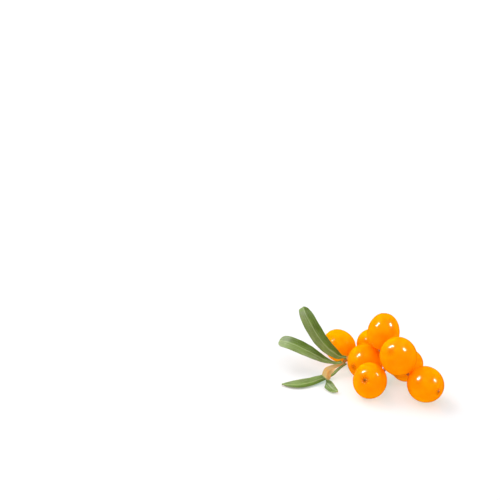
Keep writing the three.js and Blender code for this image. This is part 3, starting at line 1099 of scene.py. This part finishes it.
def pruned(points, twig):
    """Flattens the twig's end to the slanted pruning cut, and marks the bare wood and its pith."""
    here, along = heading(twig, CUT_SHARE)
    slant = math.radians(CUT_SLANT)
    upward = unit(np.cross(np.cross(along, (0, 0, 1)), along))
    normal = -(along * math.cos(slant) + upward * math.sin(slant))
    beyond = (points - here) @ normal
    near = np.linalg.norm(points - here, axis=1) < CUT_REACH
    over = near & (beyond > 0)
    points = points - np.outer(np.where(over, beyond, 0), normal)
    away = np.linalg.norm(points - here, axis=1)
    cut = over * bell(np.maximum(away - BARE_SHARE * TWIG_RADIUS_CUT, 0), BARE_EDGE)
    return points, cut, cut * bell(away, PITH_SPREAD)


# ---- Table, light and backdrop ----

TABLE_SIDE = 4.0  # metres
LIGHT_DISTANCE = 0.7  # metres
KEY_RADIANCE = 260.0
CEILING_RADIANCE = 1.25
SIDE_RADIANCE = 4.6

# The room glows most low down, and fades between two heights. The point overhead is at height 1.
FADE_LOW = 0.02
FADE_HIGH = 0.22
ROOM_RADIANCE_LOW = 1.45
ROOM_RADIANCE_HIGH = 0.46


def add_table():
    """A wide table top under the sprig, which the skins don't mirror."""
    half = TABLE_SIDE / 2 / MM
    corners = [(-half, -half, 0), (half, -half, 0), (half, half, 0), (-half, half, 0)]
    table = add_mesh("table", corners, [(0, 1, 2, 3)])
    table.data.materials.append(pale_table())
    table.visible_glossy = False


def add_key(name, toward, length, breadth):
    """A strip softbox that gives the skins their highlights. Its long side climbs towards the ceiling."""
    add_softbox(name, toward, length, breadth, KEY_RADIANCE).visible_diffuse = False


def add_glow(name, toward, side, radiance):
    """A square softbox that lights everything and that no skin mirrors."""
    add_softbox(name, toward, side, side, radiance).visible_glossy = False


def add_softbox(name, toward, length, breadth, radiance):
    """A rectangular light in one direction, which spans length by breadth degrees of the sky."""
    data = bpy.data.lights.new(name, "AREA")
    data.shape = "RECTANGLE"
    data.size = 2 * LIGHT_DISTANCE * math.tan(math.radians(breadth / 2))
    data.size_y = 2 * LIGHT_DISTANCE * math.tan(math.radians(length / 2))
    data.energy = radiance * math.pi * data.size * data.size_y
    softbox = bpy.data.objects.new(name, data)
    bpy.context.scene.collection.objects.link(softbox)
    direction = Vector(toward).normalized()
    softbox.location = AIM + direction * LIGHT_DISTANCE
    softbox.rotation_euler = direction.to_track_quat("Z", "Y").to_euler()
    return softbox


def add_backdrop():
    """A white room, brightest low down all round, that the skins don't mirror."""
    world = bpy.data.worlds.new("white_room")
    world.use_nodes = True
    bpy.context.scene.world = world
    nodes, links = world.node_tree.nodes, world.node_tree.links
    place = nodes.new("ShaderNodeTexCoord")
    split = nodes.new("ShaderNodeSeparateXYZ")
    fade = nodes.new("ShaderNodeMapRange")
    fade.interpolation_type = "SMOOTHSTEP"
    fade.inputs["From Min"].default_value = FADE_LOW
    fade.inputs["From Max"].default_value = FADE_HIGH
    fade.inputs["To Min"].default_value = ROOM_RADIANCE_LOW
    fade.inputs["To Max"].default_value = ROOM_RADIANCE_HIGH
    links.new(place.outputs["Generated"], split.inputs[0])
    links.new(split.outputs["Z"], fade.inputs[0])
    links.new(fade.outputs[0], nodes["Background"].inputs["Strength"])
    nodes["Background"].inputs["Color"].default_value = (1.0, 1.0, 1.0, 1.0)
    world.cycles_visibility.glossy = False


# ---- The scene ----

BERRY_LOOKS = ["gloss"]
LEAF_LOOKS = ["rust", "silver", "half_shade"]


def parted(settings, looks):
    """A piece's settings in two: those of its looks, and those of its shape."""
    chosen = {key: settings[key] for key in looks}
    shape = {key: value for key, value in settings.items() if key not in looks}
    return chosen, shape


add_camera()
add_backdrop()
add_table()
add_key("key_left", toward=(-0.7, -0.06, 0.71), length=20, breadth=8)
add_key("key_right", toward=(0.71, -0.22, 0.67), length=16, breadth=8)
add_glow("ceiling", toward=(0.0, 0.0, 1.0), side=90, radiance=CEILING_RADIANCE)
add_glow("side", toward=(-0.5, 0.4, 0.77), side=30, radiance=SIDE_RADIANCE)
bpy.context.scene.view_settings.view_transform = "Standard"

for number, (name, fruit) in enumerate(BERRIES.items()):
    looks, shape = parted(fruit, BERRY_LOOKS)
    skin = berry_skin(name + "_orange", **looks)
    dress(add_berry(name, seed=number + 1, **shape), skin, name)
for number, (name, leaf) in enumerate(LEAVES.items()):
    looks, shape = parted(leaf, LEAF_LOOKS)
    blade = leaf_blade(name + "_green", **looks)
    dress(add_leaf(name, seed=number + 1, **shape), blade, name)
dress(add_twig(), bark(), "twig")
